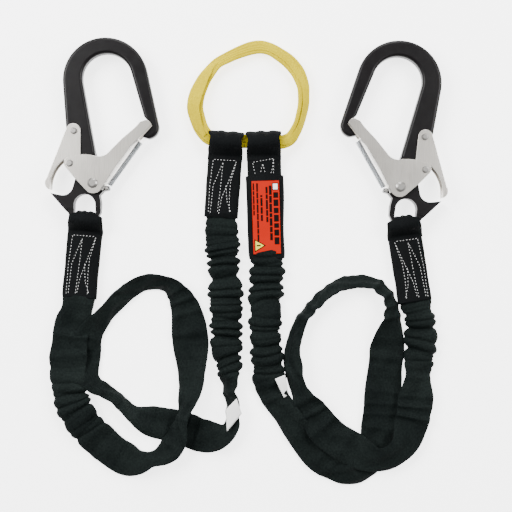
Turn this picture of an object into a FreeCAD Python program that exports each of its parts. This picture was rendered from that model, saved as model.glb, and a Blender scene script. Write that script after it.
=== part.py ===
import FreeCAD, Part
import math
import os
import Sketcher
from FreeCAD import Placement, Rotation, Vector

# Twin-leg shock absorbing lanyard, lying flat. Millimetres. X is across, Y runs towards the hooks'
# bows and Z is up from the surface that it lies on. The origin is on that surface, under the middle
# of the hooks, eyes and tether loop; the free webbing legs lie on the -Y side.

# name, value in mm or degrees or a formula, what it is
SIZES = [
    # the two scaffold hooks; each is drawn about its gate pivot
    ("left_hook_x", -196.8, "gate pivot of the left hook"),
    ("left_hook_y", -18.1, "gate pivot of the left hook"),
    ("left_hook_turn", 0.0, "turn of the left hook in the plane"),
    ("right_hook_x", 200.2, "gate pivot of the right hook"),
    ("right_hook_y", -23.0, "gate pivot of the right hook"),
    ("right_hook_turn", -6.3, "turn of the right hook in the plane"),
    ("hook_body_thickness", 16.0, "forged body"),
    ("hook_edge_radius", 4.0, "rounding of the forged body's edges"),
    ("eye_bar_thickness", 13.0, "body at its webbing eye"),
    ("bow_inner_radius", 32.2, "seat that goes over a bar"),
    ("bow_section", 23.0, "material round the bow"),
    ("bow_x", 17.9, "bow centre from the gate pivot"),
    ("bow_y", 136.0, "bow centre from the gate pivot"),
    ("eye_x", -11.0, "webbing eye centre from the gate pivot"),
    ("eye_bar_y", -46.5, "bar that the webbing goes round, from the gate pivot"),
    ("eye_bar_height", 11.0, "bar that the webbing goes round"),
    ("eye_slot_width", 28.0, "clear width of the webbing eye"),
    ("eye_slot_top", -14.0, "upper end of the webbing eye"),
    ("side_gap", 0.4, "play between body, lever and gate plates"),
    ("sheet_metal", 2.0, "gate's and lever's sheet"),
    ("lever_sheet", 1.6, "lever's sheet"),
    ("pivot_play", 0.05, "radial play of a rivet in its holes"),
    ("gate_rivet_radius", 4.0, "gate rivet's shank"),
    ("gate_head_radius", 6.5, "gate rivet's heads"),
    ("lever_rivet_radius", 2.8, "lever rivet's shank"),
    ("lever_head_radius", 4.3, "lever rivet's heads"),
    ("lock_pin_radius", 3.0, "pin in the gate's rear lobe"),
    ("lock_head_radius", 4.6, "lock pin's heads"),
    ("head_height", 2.2, "rivet heads"),
    ("spring_radius", 2.5, "gate spring's coil"),
    ("spring_wire", 0.9, "gate spring's wire"),
    ("lever_spring_radius", 4.0, "lever spring's coil"),
    ("anchor_pin_radius", 1.4, "pin that holds the gate spring"),
    # sewn webbing
    ("webbing_width", 46.0, "flat width of the legs' webbing"),
    ("pack_thickness", 12.0, "plies sewn together at an end"),
    ("hook_eye_width", 24.0, "webbing gathered through the hook's eye"),
    ("hook_eye_play", 0.3, "between the webbing and the bar's corners"),
    ("hook_eye_radius", "=sqrt(eye_bar_height^2 + eye_bar_thickness^2) / 2 + hook_eye_play",
     "hollow of the webbing round the bar"),
    ("middle_eye_radius", 10.6, "hollow of the webbing round the tether"),
    ("eye_ply", 3.0, "webbing round an eye"),
    ("hook_pack_length", 103.0, "eye bar to the end of the stitching"),
    ("middle_pack_length", 99.0, "tether to the end of the stitching"),
    ("left_hook_lean", -5.2, "left sewn end against its hook"),
    ("right_hook_lean", 15.2, "right sewn end against its hook"),
    ("left_middle_lean", -4.0, "left middle end"),
    ("right_middle_lean", 1.6, "right middle end"),
    ("left_middle_gap", 2.1, "left middle end's near edge from the middle line"),
    ("right_middle_gap", 0.7, "right middle end's near edge from the middle line"),
    ("tether_y", 37.0, "tether where it passes the middle eyes"),
    ("wear_pad_thickness", 1.6, "extra ply over the stitching"),
    ("wear_pad_start", 27.0, "extra ply's start from the eye bar"),
    ("wear_pad_length", 75.5, "extra ply over the stitching"),
    ("leg_lead", 14.0, "straight run of a leg where it leaves a sewn end"),
    ("sewing_gap", 0.3, "between a sewn end and the leg that comes out of it"),
    ("jacket_width", 36.0, "gathered tubular webbing"),
    ("jacket_thickness", 9.0, "gathered tubular webbing"),
    ("jacket_wall", 1.5, "gathered tubular webbing"),
    ("core_width", 24.0, "stretch core inside the tube"),
    ("core_thickness", 3.0, "stretch core inside the tube"),
    ("tether_span", 46.0, "webbing width that the tether's route is drawn for"),
    ("tether_width", 18.0, "tether loop"),
    ("tether_thickness", 8.0, "tether loop"),
    ("sleeve_start", 45.0, "label sleeve's start from the tether"),
    ("sleeve_length", 108.0, "label sleeve"),
    ("sleeve_wall", 1.2, "label sleeve"),
    ("sleeve_play", 0.3, "label sleeve round the sewn end"),
    ("label_width", 36.0, "printed label"),
    ("label_length", 95.0, "printed label"),
    ("label_thickness", 0.6, "printed label"),
    ("tag_width", 16.0, "small sewn-in tag"),
    ("tag_length", 28.0, "small sewn-in tag"),
    ("tag_thickness", 0.8, "small sewn-in tag"),
]

doc = FreeCAD.newDocument("ShockAbsorbingLanyard")
sheet = doc.addObject("Spreadsheet::Sheet", "Sizes")
for row, (alias, value, note) in enumerate(SIZES, start=1):
    sheet.set(f"A{row}", alias)
    sheet.set(f"B{row}", str(value))
    sheet.set(f"C{row}", note)
    sheet.setAlias(f"B{row}", alias)
doc.recompute()


def size(alias):
    """The value of a driving dimension."""
    return float(sheet.get(alias))


# Half thicknesses of a hook's layers, counted from its middle plane.
BODY_HALF = size("hook_body_thickness") / 2
LEVER_IN = BODY_HALF + size("side_gap")
LEVER_OUT = LEVER_IN + size("lever_sheet")
GATE_IN = LEVER_OUT + size("side_gap")
GATE_OUT = GATE_IN + size("sheet_metal")
HEAD_UNDER = GATE_OUT + size("side_gap")
HOOK_MID_Z = HEAD_UNDER + size("head_height")

# The hook lies on its rivet heads, so these formulas carry the same stack in the document.
LEVER_IN_F = "(Sizes.hook_body_thickness / 2 + Sizes.side_gap)"
LEVER_OUT_F = f"({LEVER_IN_F} + Sizes.lever_sheet)"
GATE_IN_F = f"({LEVER_OUT_F} + Sizes.side_gap)"
GATE_OUT_F = f"({GATE_IN_F} + Sizes.sheet_metal)"

# The label sleeve lies under the right middle end, which it lifts.
LIFTS = (("left", 0.0), ("right", size("sleeve_wall") + size("sleeve_play")))

# Pivots and pins of a hook, from its gate pivot, drawn for the left hook.
LEVER_PIVOT = (-24.5, 67.5)
LOCK_PIN = (-29.5, 25.6)
SPRING_ANCHOR = (17.2, -6.6)
SPRING_TOP = (60.5, 53.5)
LEVER_SPRING_FOOT = (-29.8, 49.7)
LEVER_SPRING_TOP = (-38.9, 52.4)

nodes = []


def new_body(label, placement):
    """A sub-part: one PartDesign body with its name and place."""
    body = doc.addObject("PartDesign::Body", label)
    body.Label = label
    body.Placement = placement
    nodes.append(body)
    return body


def new_sketch(body, name, plane="XY_Plane", height=0.0):
    """A sketch on one of the body's own origin planes, raised by height."""
    sketch = body.newObject("Sketcher::SketchObject", f"{body.Name}_{name}")
    origin_plane = next(f for f in body.Origin.OriginFeatures if f.Role == plane)
    sketch.AttachmentSupport = [(origin_plane, "")]
    sketch.MapMode = "FlatFace"
    sketch.AttachmentOffset = Placement(Vector(0, 0, height), Rotation())
    return sketch


def draw(sketch, outline, side=1):
    """A closed outline. A corner is (x, y) and an arc is (through x, through y, end x, end y)."""
    points = [Vector(side * c[-2], c[-1], 0) for c in outline]
    for i, corner in enumerate(outline):
        start, end = points[i - 1], points[i]
        if len(corner) == 4:
            through = Vector(side * corner[0], corner[1], 0)
            sketch.addGeometry(Part.Arc(start, through, end), False)
        else:
            sketch.addGeometry(Part.LineSegment(start, end), False)


def draw_circle(sketch, centre, radius_alias, side=1, play=False):
    """A hole or shank whose radius is bound to the sheet."""
    extra = size("pivot_play") if play else 0.0
    radius = size(radius_alias) + extra
    centre = Vector(side * centre[0], centre[1], 0)
    index = sketch.addGeometry(Part.Circle(centre, Vector(0, 0, 1), radius), False)
    bound = sketch.addConstraint(Sketcher.Constraint("Radius", index, radius))
    formula = f"Sizes.{radius_alias}" + (" + Sizes.pivot_play" if play else "")
    sketch.setExpression(f"Constraints[{bound}]", formula)


def pad(body, sketch, formula, both_ways=True, reverse=False):
    feature = body.newObject("PartDesign::Pad", f"{sketch.Name}_pad")
    feature.Profile = sketch
    feature.setExpression("Length", formula)
    feature.Midplane = both_ways
    feature.Reversed = reverse
    return feature


def pocket(body, sketch, formula=None):
    """A cut both ways from the sketch: as deep as the formula, or right through."""
    feature = body.newObject("PartDesign::Pocket", f"{sketch.Name}_pocket")
    feature.Profile = sketch
    feature.Midplane = True
    if formula is None:
        feature.Length = 400.0
    else:
        feature.setExpression("Length", formula)
    return feature


def hook_place(side):
    name = "left" if side > 0 else "right"
    at = Vector(size(f"{name}_hook_x"), size(f"{name}_hook_y"), HOOK_MID_Z)
    return Placement(at, Rotation(Vector(0, 0, 1), size(f"{name}_hook_turn")))


def rectangle(left, low, right, high):
    return [(left, low), (right, low), (right, high), (left, high)]


def tangent_point(centre, radius, point, way):
    """Where the line from a point touches a circle; way is 1 for the right side and -1 for the left."""
    dx, dy = point[0] - centre[0], point[1] - centre[1]
    angle = math.atan2(dy, dx) + way * math.acos(radius / math.hypot(dx, dy))
    return (centre[0] + radius * math.cos(angle), centre[1] + radius * math.sin(angle))


def on_line(start, end, share):
    """The point that lies that share of the way from start to end."""
    return tuple(a + share * (b - a) for a, b in zip(start, end))


def hook_body(name, side, place):
    """The forged body: bow, nose, spine, horn and the ring that the webbing goes through."""
    body = new_body(f"{name}_hook_body", place)
    inner, section = size("bow_inner_radius"), size("bow_section")
    cx, cy = size("bow_x"), size("bow_y")
    outer = inner + section
    ax, ay = SPRING_ANCHOR
    foot = size("eye_bar_y") - size("eye_bar_height") / 2
    ex = size("eye_x")
    half_ring = size("eye_slot_width") / 2 + 6.0
    seat = (cx, cy)
    back = (cx - 2.4, cy - 2.0)
    spine_foot, latch = (9.3, 3.0), (65.7, 86.8)
    nose, shoulder = (84.8, 75.9), (-35.6, 75.9)
    spine_top = tangent_point(seat, inner, spine_foot, -1)
    outline = [
        on_line(spine_foot, spine_top, 0.21),
        spine_top,
        (cx, cy + inner) + tangent_point(seat, inner, latch, 1),
        latch,
        (76.6, 74.1),
        (63.8, 60.3),
        (72.0, 57.6),
        (82.5, 63.9) + nose,
        tangent_point(back, outer, nose, 1),
        (back[0], back[1] + outer) + tangent_point(back, outer, shoulder, -1),
        shoulder,
        (-33.0, 62.0),
        (-21.0, 40.0),
        (-20.2, 30.0),
    ]
    lower = [
        spine_foot,
        on_line(spine_foot, spine_top, 0.29),
        (-21.0, 40.0),
        (-19.5, 22.0),
        (-22.8, 6.2),
        (-26.0, -4.8),
        (-32.0, -13.4, -42.5, -15.1),
        (-55.1, -12.5),
        (-36.0, -34.5),
        (ex - half_ring - 1.5, foot + 14.0),
        (ex - 14.0, foot),
        (ex + 12.0, foot),
        (ex + half_ring + 0.6, foot + 14.0),
        (ex + half_ring + 0.9, -26.0),
        (8.3, -15.5),
        (13.5, ay - 3.4),
        (ax + 2.4, ay - 2.2),
        (ax + 3.2, ay + 0.6, ax + 0.6, ay + 3.2),
        (ax - 2.2, ay + 2.4),
        (12.6, -9.6),
        (9.6, -9.0),
    ]
    bow = new_sketch(body, "bow")
    draw(bow, outline, side)
    forged = pad(body, bow, "Sizes.hook_body_thickness")
    doc.recompute()
    rounded = [f"Edge{i}" for i, edge in enumerate(body.Shape.Edges, start=1) if on_forged_rim(edge, body)]
    fillet = body.newObject("PartDesign::Fillet", f"{body.Name}_rim")
    fillet.Base = (forged, rounded)
    fillet.setExpression("Radius", "Sizes.hook_edge_radius")
    base = new_sketch(body, "base")
    draw(base, lower, side)
    pad(body, base, "Sizes.hook_body_thickness")
    bottom = size("eye_bar_y") + size("eye_bar_height") / 2
    half, top = size("eye_slot_width") / 2, size("eye_slot_top")
    slot = [
        (ex - half, bottom + 2.0),
        (ex - half, top - half + 1.0),
        (ex, top, ex + half, top - half + 1.0),
        (ex + half, bottom + 2.0),
        (ex + half - 2.0, bottom),
        (ex - half + 2.0, bottom),
    ]
    eye = new_sketch(body, "eye")
    draw(eye, slot, side)
    draw_circle(eye, (0, 0), "gate_rivet_radius", side, play=True)
    draw_circle(eye, LEVER_PIVOT, "lever_rivet_radius", side, play=True)
    draw_circle(eye, SPRING_ANCHOR, "anchor_pin_radius", side, play=True)
    pocket(body, eye)
    slim_eye(body, side)
    return body


def on_forged_rim(edge, body):
    """The long face edges of the bow and nose; those under the gate and round the holes stay sharp."""
    box = edge.BoundBox
    local = body.Placement.inverse()
    middle = local.multVec(edge.valueAt((edge.FirstParameter + edge.LastParameter) / 2))
    flat = box.ZMax - box.ZMin < 0.01
    return flat and edge.Length > 30.0 and middle.y > 60.0


def slim_eye(body, side):
    """Both faces of the ring are cut back, so that it turns inside the webbing."""
    ex, bar = size("eye_x"), size("eye_bar_y")
    reach = size("eye_slot_width") / 2 + 9.0
    for name, way in (("front", 1), ("back", -1)):
        height = way * (size("eye_bar_thickness") / 2 + 10.0)
        cut = new_sketch(body, f"slim_{name}", height=height)
        draw(cut, rectangle(ex - reach, bar - 12.0, ex + reach, bar + 14.0), side)
        feature = body.newObject("PartDesign::Pocket", f"{cut.Name}_pocket")
        feature.Profile = cut
        feature.Midplane = True
        feature.Length = 20.0


def gate(name, side, place):
    """A sheet channel: two plates outside the body, joined by a web along the outer edge."""
    body = new_body(f"{name}_gate", place)
    plates = new_sketch(body, "outline")
    outline = [
        (-36.4, 29.0, -34.2, 20.3),
        (-22.8, 6.2),
        (-7.0, -10.7),
        (1.5, -13.4, 11.7, -6.6),
        (28.2, 19.1),
        (49.0, 47.3),
        (63.1, 61.0),
        (75.5, 74.8),
        (72.0, 80.5, 65.5, 80.1),
        (61.4, 78.8),
        (54.7, 71.4),
        (38.2, 57.3),
        (21.6, 40.7),
        (14.0, 35.2, 3.3, 35.0),
        (-12.0, 36.8, -26.0, 34.6),
    ]
    draw(plates, outline, side)
    pad(body, plates, f"2 * {GATE_OUT_F}")
    web = size("sheet_metal") + 0.2
    inside = [
        (11.7 - 0.84 * web, -6.6 + 0.54 * web),
        (28.2 - 0.82 * web, 19.1 + 0.57 * web),
        (49.0 - 0.75 * web, 47.3 + 0.66 * web),
        (59.0 - 0.70 * web, 57.0 + 0.71 * web),
        (63.0, 54.0),
        (95.0, 70.0),
        (70.0, 100.0),
        (-60.0, 60.0),
        (-60.0, -30.0),
        (16.0, -30.0),
    ]
    hollow = new_sketch(body, "hollow")
    draw(hollow, inside, side)
    pocket(body, hollow, f"2 * {GATE_IN_F}")
    holes = new_sketch(body, "holes")
    draw_circle(holes, (0, 0), "gate_rivet_radius", side, play=True)
    draw_circle(holes, LOCK_PIN, "lock_pin_radius", side, play=True)
    pocket(body, holes)
    return body


def lever(name, side, place):
    """The palm lever: a channel whose web is on the outside, hung on a rivet in the spine."""
    body = new_body(f"{name}_lock_lever", place)
    flanges = new_sketch(body, "outline")
    lx, ly = LEVER_PIVOT
    outline = [
        (-16.0, 33.0),
        (-30.0, 33.0),
        (-36.9, 30.6),
        (-49.5, 17.0, -55.5, -0.8),
        (-56.2, -8.1),
        (-60.6, -4.0, -59.4, 6.5),
        (lx - 9.6, ly + 3.0),
        (lx - 2.5, ly + 9.6, lx + 8.5, ly),
    ]
    draw(flanges, outline, side)
    pad(body, flanges, f"2 * {LEVER_OUT_F}")
    web = size("sheet_metal")
    inside = [
        (-59.4 + web, 6.5 - 0.3 * web),
        (-56.8 + 0.4 * web, -7.0),
        (-50.0, -20.0),
        (0.0, -20.0),
        (0.0, 90.0),
        (-50.0, 90.0),
        (-50.0, 64.0),
        (-38.4, 64.0),
        (-38.2 + web, 62.0),
    ]
    hollow = new_sketch(body, "hollow")
    draw(hollow, inside, side)
    pocket(body, hollow, f"2 * {LEVER_IN_F}")
    hole = new_sketch(body, "hole")
    draw_circle(hole, LEVER_PIVOT, "lever_rivet_radius", side, play=True)
    pocket(body, hole)
    return body


def rivet(label, place, at, side, shank_alias, head_alias, under, top):
    """A rivet through a hook, turned about its own axis, with a low domed head at each end."""
    body = new_body(label, place.multiply(Placement(Vector(side * at[0], at[1], 0), Rotation())))
    shank, head = size(shank_alias), size(head_alias)
    profile = [
        (0, -top),
        (head * 0.62, -top),
        (head, -under - 0.5),
        (head, -under),
        (shank, -under),
        (shank, under),
        (head, under),
        (head, under + 0.5),
        (head * 0.62, top),
        (0, top),
    ]
    half = new_sketch(body, "profile", plane="XZ_Plane")
    draw(half, profile)
    lathe = body.newObject("PartDesign::Revolution", f"{body.Name}_turned")
    lathe.Profile = half
    lathe.ReferenceAxis = (half, ["V_Axis"])
    lathe.Angle = 360.0
    return body


def spring_tube(label, place, start, end, radius, wire, side):
    """A coil spring's outline: a tube of the coil's size between its two ends."""
    a, b = (Vector(side * p[0], p[1], 0) for p in (start, end))
    along = b.sub(a)
    turn = Rotation(Vector(0, 0, 1), along)
    body = new_body(label, place.multiply(Placement(a, turn)))
    rings = new_sketch(body, "rings")
    for r in (radius, radius - wire):
        rings.addGeometry(Part.Circle(Vector(), Vector(0, 0, 1), r), False)
    coil = body.newObject("PartDesign::Pad", f"{body.Name}_coil")
    coil.Profile = rings
    coil.Length = along.Length
    return body


def turned(point, degrees):
    """A point turned about the origin."""
    cos, sin = math.cos(math.radians(degrees)), math.sin(math.radians(degrees))
    return (point[0] * cos - point[1] * sin, point[0] * sin + point[1] * cos)


def sewn_end(label, place, width, hollow_alias, length_alias, lean, floor):
    """A sewn webbing end: a loop round its bar, closing into a flat pack that leans in the plane."""
    body = new_body(label, place)
    hollow = size(hollow_alias)
    around = hollow + size("eye_ply")
    base = floor - place.Base.z
    top = base + size("pack_thickness")
    half, full = width / 2, size("webbing_width") / 2
    join = around + 13.0
    loop = new_sketch(body, "loop", plane="YZ_Plane")
    draw(loop, [(0, around), (around, 0, 0, -around), (-join, base), (-join, top)])
    sleeve = body.newObject("PartDesign::Pad", f"{body.Name}_loop_pad")
    sleeve.Profile = loop
    sleeve.Length = width
    sleeve.Midplane = True
    bar = new_sketch(body, "bar", plane="YZ_Plane")
    draw_circle(bar, (0, 0), hollow_alias)
    pocket(body, bar)
    flat = new_sketch(body, "pack", height=base)
    length = size(length_alias)
    start = around + 2.0
    shoulder = start + 13.0
    corners = [
        (half, -start),
        (full, -shoulder),
        (full, -length),
        (-full, -length),
        (-full, -shoulder),
        (-half, -start),
    ]
    draw(flat, [turned(c, lean) for c in corners])
    pad(body, flat, "Sizes.pack_thickness", both_ways=False)
    return body


def plate(label, place, width_alias, length_alias, thickness_alias):
    """A flat piece that hangs down -Y from its placement, centred on X."""
    body = new_body(label, place)
    flat = new_sketch(body, "outline")
    half, length = size(width_alias) / 2, size(length_alias)
    draw(flat, rectangle(-half, -length, half, 0.0))
    pad(body, flat, f"Sizes.{thickness_alias}", both_ways=False)
    return body


def label_sleeve(place):
    """A flat sleeve round the sewn end: a wall all round, open at both ends."""
    body = new_body("label_sleeve", place)
    play, wall = size("sleeve_play"), size("sleeve_wall")
    half = size("webbing_width") / 2 + play
    tall = size("pack_thickness") + 2 * play
    section = new_sketch(body, "section", plane="XZ_Plane")
    draw(section, rectangle(-half - wall, 0.0, half + wall, tall + 2 * wall))
    draw(section, rectangle(-half, wall, half, wall + tall))
    pad(body, section, "Sizes.sleeve_length", both_ways=False)
    return body


def rounded_path(route, closed=False):
    """Straight runs joined by tangent arcs. A point's fourth number is a radius set by hand."""
    points = [Vector(*p[:3]) for p in route]
    count = len(points)
    corners = range(count) if closed else range(1, count - 1)
    cuts = {}
    radii = []
    for i in corners:
        here, before, after = points[i], points[i - 1], points[(i + 1) % count]
        back, on = before.sub(here), after.sub(here)
        turn = math.pi - back.getAngle(on)
        reach = 0.45 * min(back.Length, on.Length)
        radius = reach / math.tan(turn / 2)
        if len(route[i]) > 3:
            radius = route[i][3]
            reach = radius * math.tan(turn / 2)
        radii.append(radius)
        back.normalize()
        on.normalize()
        bisector = (back + on).normalize()
        middle = here + bisector * (radius / math.cos(turn / 2) - radius)
        cuts[i] = (here + back * reach, middle, here + on * reach)
    edges = []
    last = cuts[count - 1][2] if closed else points[0]
    for i in list(corners) + ([] if closed else [count - 1]):
        enter = cuts[i][0] if i in cuts else points[i]
        edges.append(Part.LineSegment(last, enter).toShape())
        if i in cuts:
            edges.append(Part.Arc(*cuts[i]).toShape())
            last = cuts[i][2]
    return Part.Wire(edges), radii


def flat_section(start, along, width, thickness):
    """An obround section across the path, its width level."""
    across = Vector(-along.y, along.x, 0).normalize()
    up = along.cross(across).normalize() * (thickness / 2)
    side = across * (width / 2 - thickness / 2)
    tip = across * (width / 2)
    top = Part.LineSegment(start + up - side, start + up + side).toShape()
    right = Part.Arc(start + up + side, start + tip, start - up + side).toShape()
    low = Part.LineSegment(start - up + side, start - up - side).toShape()
    left = Part.Arc(start - up - side, start - tip, start + up - side).toShape()
    return Part.Wire([top, right, low, left])


def swept(path, width, thickness):
    start = path.Edges[0].valueAt(path.Edges[0].FirstParameter)
    along = path.Edges[0].tangentAt(path.Edges[0].FirstParameter)
    pipe = Part.BRepOffsetAPI.MakePipeShell(path)
    pipe.setBiNormalMode(Vector(0, 0, 1))
    pipe.add(flat_section(start, along, width, thickness))
    pipe.build()
    pipe.makeSolid()
    return pipe.shape()


def strap(label, shape):
    """A swept sub-part, which no PartDesign feature fits."""
    feature = doc.addObject("Part::Feature", label)
    feature.Label = label
    feature.Shape = shape
    feature.Placement = Placement()
    nodes.append(feature)
    return feature


# The legs' routes from the hook's sewn end to the middle one: x, y and height of the tube's middle.
LOW, HIGH = 4.5, 17.5
LEFT_ROUTE = [
    (-227, -206, HIGH), (-231, -242, 17), (-232, -284, HIGH), (-217, -325, 10), (-185, -360, 5),
    (-149, -380, LOW), (-119, -377, 8), (-93, -358, 14), (-78, -320, HIGH), (-69, -281, 11),
    (-71, -228, LOW), (-79, -177, 5), (-97, -150, LOW), (-128, -145, 5), (-156, -160, LOW),
    (-180, -188, 5), (-198, -216, LOW), (-206, -250, LOW), (-197, -279, 5), (-169, -292, LOW),
    (-150, -312, LOW), (-124, -327, LOW), (-87, -336, LOW), (-52, -346, LOW), (-25, -341, 5),
    (-12, -318, LOW), (-20, -293, LOW), (-19, -266, 5), (-24, -228, LOW), (-25, -189, LOW),
    (-26, -150, 5), (-31, -111, LOW),
]
RIGHT_ROUTE = [
    (229, -208, 5), (227, -242, 6), (223, -286, 13), (217, -332, HIGH), (200, -363, HIGH),
    (170, -376, 17), (136, -366, HIGH), (109, -346, 17), (87, -316, HIGH), (70, -284, 16),
    (64, -245, 8), (67, -208, LOW), (91, -175, 5), (124, -149, LOW), (157, -146, 5),
    (173, -160, LOW), (181, -190, 5), (179, -234, LOW), (179, -284, 5), (176, -332, LOW),
    (165, -372, LOW), (139, -396, LOW), (105, -386, 5), (79, -360, LOW), (57, -325, LOW),
    (33, -289, LOW), (28, -245, 5), (26, -198, LOW), (28, -154, 5), (29, -114, 6.5),
]
# The tether loop, clockwise from inside the middle eyes.
TETHER_ROUTE = [
    (-57, 0, 15), (-67, 33), (-63, 60), (-54, 80), (-37, 100), (-13, 113), (7, 122),
    (30, 124), (50, 111), (69, 89), (78, 63), (73, 32), (60, 0, 15),
]


def beyond(place, lean, distance, height):
    """A point on a sewn end's own line, that far from its bar."""
    x, y = turned((0.0, -distance), lean)
    at = place.multVec(Vector(x, y, 0))
    return (at.x, at.y, height)


def leg(name, route, lift):
    """A leg's tubular jacket with its stretch core inside, straight where it leaves its sewn ends."""
    low = size("jacket_thickness") / 2 + 0.5
    ends = []
    for place, lean, pack, height in (
        (hook_bar(name), size(f"{name}_hook_lean"), "hook_pack_length", low),
        (middle_bar(name), size(f"{name}_middle_lean"), "middle_pack_length", low + lift),
    ):
        start = size(pack) + size("sewing_gap")
        lead = start + size("leg_lead")
        ends.append((beyond(place, lean, start, height), beyond(place, lean, lead, height)))
    path, radii = rounded_path([*ends[0], *route, *reversed(ends[1])])
    print(f"{name} leg: length {path.Length:.1f}, radii", [round(r, 1) for r in radii])
    wall = size("jacket_wall")
    wide, thick = size("jacket_width"), size("jacket_thickness")
    outer = swept(path, wide, thick)
    hollow = swept(path, wide - 2 * wall, thick - 2 * wall)
    core = swept(path, size("core_width"), size("core_thickness"))
    jacket = outer.cut(hollow)
    square = wide - thick
    section = square * thick + math.pi * thick**2 / 4
    print(f"  tube volume {outer.Volume:.0f}, section x length {section * path.Length:.0f}")
    strap(f"{name}_leg_jacket", jacket)
    strap(f"{name}_leg_core", core)


def hook(name, side):
    """One scaffold hook with its gate, lever, rivets and springs."""
    place = hook_place(side)
    hook_body(name, side, place)
    gate(name, side, place)
    lever(name, side, place)
    top = HEAD_UNDER + size("head_height")
    rivet(f"{name}_gate_rivet", place, (0, 0), side, "gate_rivet_radius", "gate_head_radius",
          HEAD_UNDER, top)
    lever_under = LEVER_OUT + size("side_gap") / 2
    rivet(f"{name}_lever_rivet", place, LEVER_PIVOT, side, "lever_rivet_radius", "lever_head_radius",
          lever_under, lever_under + size("head_height"))
    pin_under = GATE_OUT + 0.05
    rivet(f"{name}_lock_pin", place, LOCK_PIN, side, "lock_pin_radius", "lock_head_radius",
          pin_under, pin_under + size("head_height"))
    anchor_under = BODY_HALF + 0.05
    rivet(f"{name}_spring_anchor", place, SPRING_ANCHOR, side, "anchor_pin_radius", "spring_radius",
          anchor_under, anchor_under + 1.2)
    spring_tube(f"{name}_gate_spring", place, (20.4, -2.2), SPRING_TOP, size("spring_radius"),
                size("spring_wire"), side)
    spring_tube(f"{name}_lever_spring", place, LEVER_SPRING_FOOT, LEVER_SPRING_TOP,
                size("lever_spring_radius"), 1.0, side)


def hook_bar(name):
    """The place of the bar that a hook's webbing goes round."""
    side = 1 if name == "left" else -1
    bar = Placement(Vector(side * size("eye_x"), size("eye_bar_y"), 0), Rotation())
    return hook_place(side).multiply(bar)


def middle_bar(name):
    """The place of the tether where a leg's middle end goes round it."""
    side = -1 if name == "left" else 1
    x = side * (size("webbing_width") / 2 + size(f"{name}_middle_gap"))
    return Placement(Vector(x, size("tether_y"), HOOK_MID_Z), Rotation())


def sewn_parts():
    """The sewn ends, with what is sewn on them."""
    level = Rotation()
    for name in ("left", "right"):
        eye = hook_bar(name)
        lean = size(f"{name}_hook_lean")
        sewn_end(f"{name}_hook_eye", eye, size("hook_eye_width"), "hook_eye_radius",
                 "hook_pack_length", lean, 0.0)
        over = Placement(Vector(0, 0, 0), Rotation(Vector(0, 0, 1), lean))
        pad_height = size("pack_thickness") - eye.Base.z
        down = Placement(Vector(0, -size("wear_pad_start"), pad_height), level)
        plate(f"{name}_wear_pad", eye.multiply(over).multiply(down), "webbing_width",
              "wear_pad_length", "wear_pad_thickness")
    for name, lift in LIFTS:
        sewn_end(f"{name}_middle_eye", middle_bar(name), size("webbing_width"), "middle_eye_radius",
                 "middle_pack_length", size(f"{name}_middle_lean"), lift)
    eye = middle_bar("right")
    over = Placement(Vector(), Rotation(Vector(0, 0, 1), size("right_middle_lean")))
    eye.Base.z = 0.0
    start = Placement(Vector(0, -size("sleeve_start"), 0), level)
    sleeve_at = eye.multiply(over).multiply(start)
    label_sleeve(sleeve_at)
    top = 2 * size("sleeve_wall") + 2 * size("sleeve_play") + size("pack_thickness")
    margin = (size("sleeve_length") - size("label_length")) / 2
    face = Placement(Vector(0, -margin, top), level)
    plate("printed_label", sleeve_at.multiply(face), "label_width", "label_length", "label_thickness")


def tags():
    """A small tag at each leg, just past the gathered part."""
    above = size("jacket_thickness") + 0.6
    for name, x, y, turn in (("left", -10.0, -302.0, 155.0), ("right", 38.0, -269.0, 4.0)):
        place = Placement(Vector(x, y, above), Rotation(Vector(0, 0, 1), turn))
        plate(f"{name}_tag", place, "tag_width", "tag_length", "tag_thickness")


def tether():
    """The closed loop that joins both legs, as wide as their sewn ends need."""
    spread = size("webbing_width") / size("tether_span")
    route = [(p[0] * spread, p[1] + size("tether_y"), HOOK_MID_Z, *p[2:]) for p in TETHER_ROUTE]
    path, radii = rounded_path(route, closed=True)
    print(f"tether: length {path.Length:.1f}, radii", [round(r, 1) for r in radii])
    strap("tether_loop", swept(path, size("tether_width"), size("tether_thickness")))


hook("left", 1)
hook("right", -1)
sewn_parts()
tags()
for (name, lift), route in zip(LIFTS, (LEFT_ROUTE, RIGHT_ROUTE)):
    leg(name, route, lift)
tether()
doc.recompute()

failed = [o.Name for o in doc.Objects if "Invalid" in o.State or "Error" in o.State]
bad = [n.Label for n in nodes if n.Shape.isNull() or not n.Shape.isValid() or n.Shape.Volume <= 0]
if failed or bad:
    raise RuntimeError(f"failed features {failed}, bad shapes {bad}")
os.makedirs("parts", exist_ok=True)
for node in nodes:
    node.Shape.exportStep(f"parts/{node.Label}.step")
    solids = len(node.Shape.Solids)
    print(f"{node.Label}: {solids} solid, {node.Shape.Volume / 1000:.2f} cm3")
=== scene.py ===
# %% [markdown]
# A twin-leg shock absorbing lanyard, laid flat on a pale surface and lit softly from above. The hard parts
# (hooks, gates, levers, rivets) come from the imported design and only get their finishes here. Everything
# sewn, woven or coiled is made here: two gathered webbing legs, their sewn ends, the yellow tether loop,
# the label and the springs.

# %% Load the frame
import math
import bpy
import numpy as np
from mathutils import Matrix, Vector, noise


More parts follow.
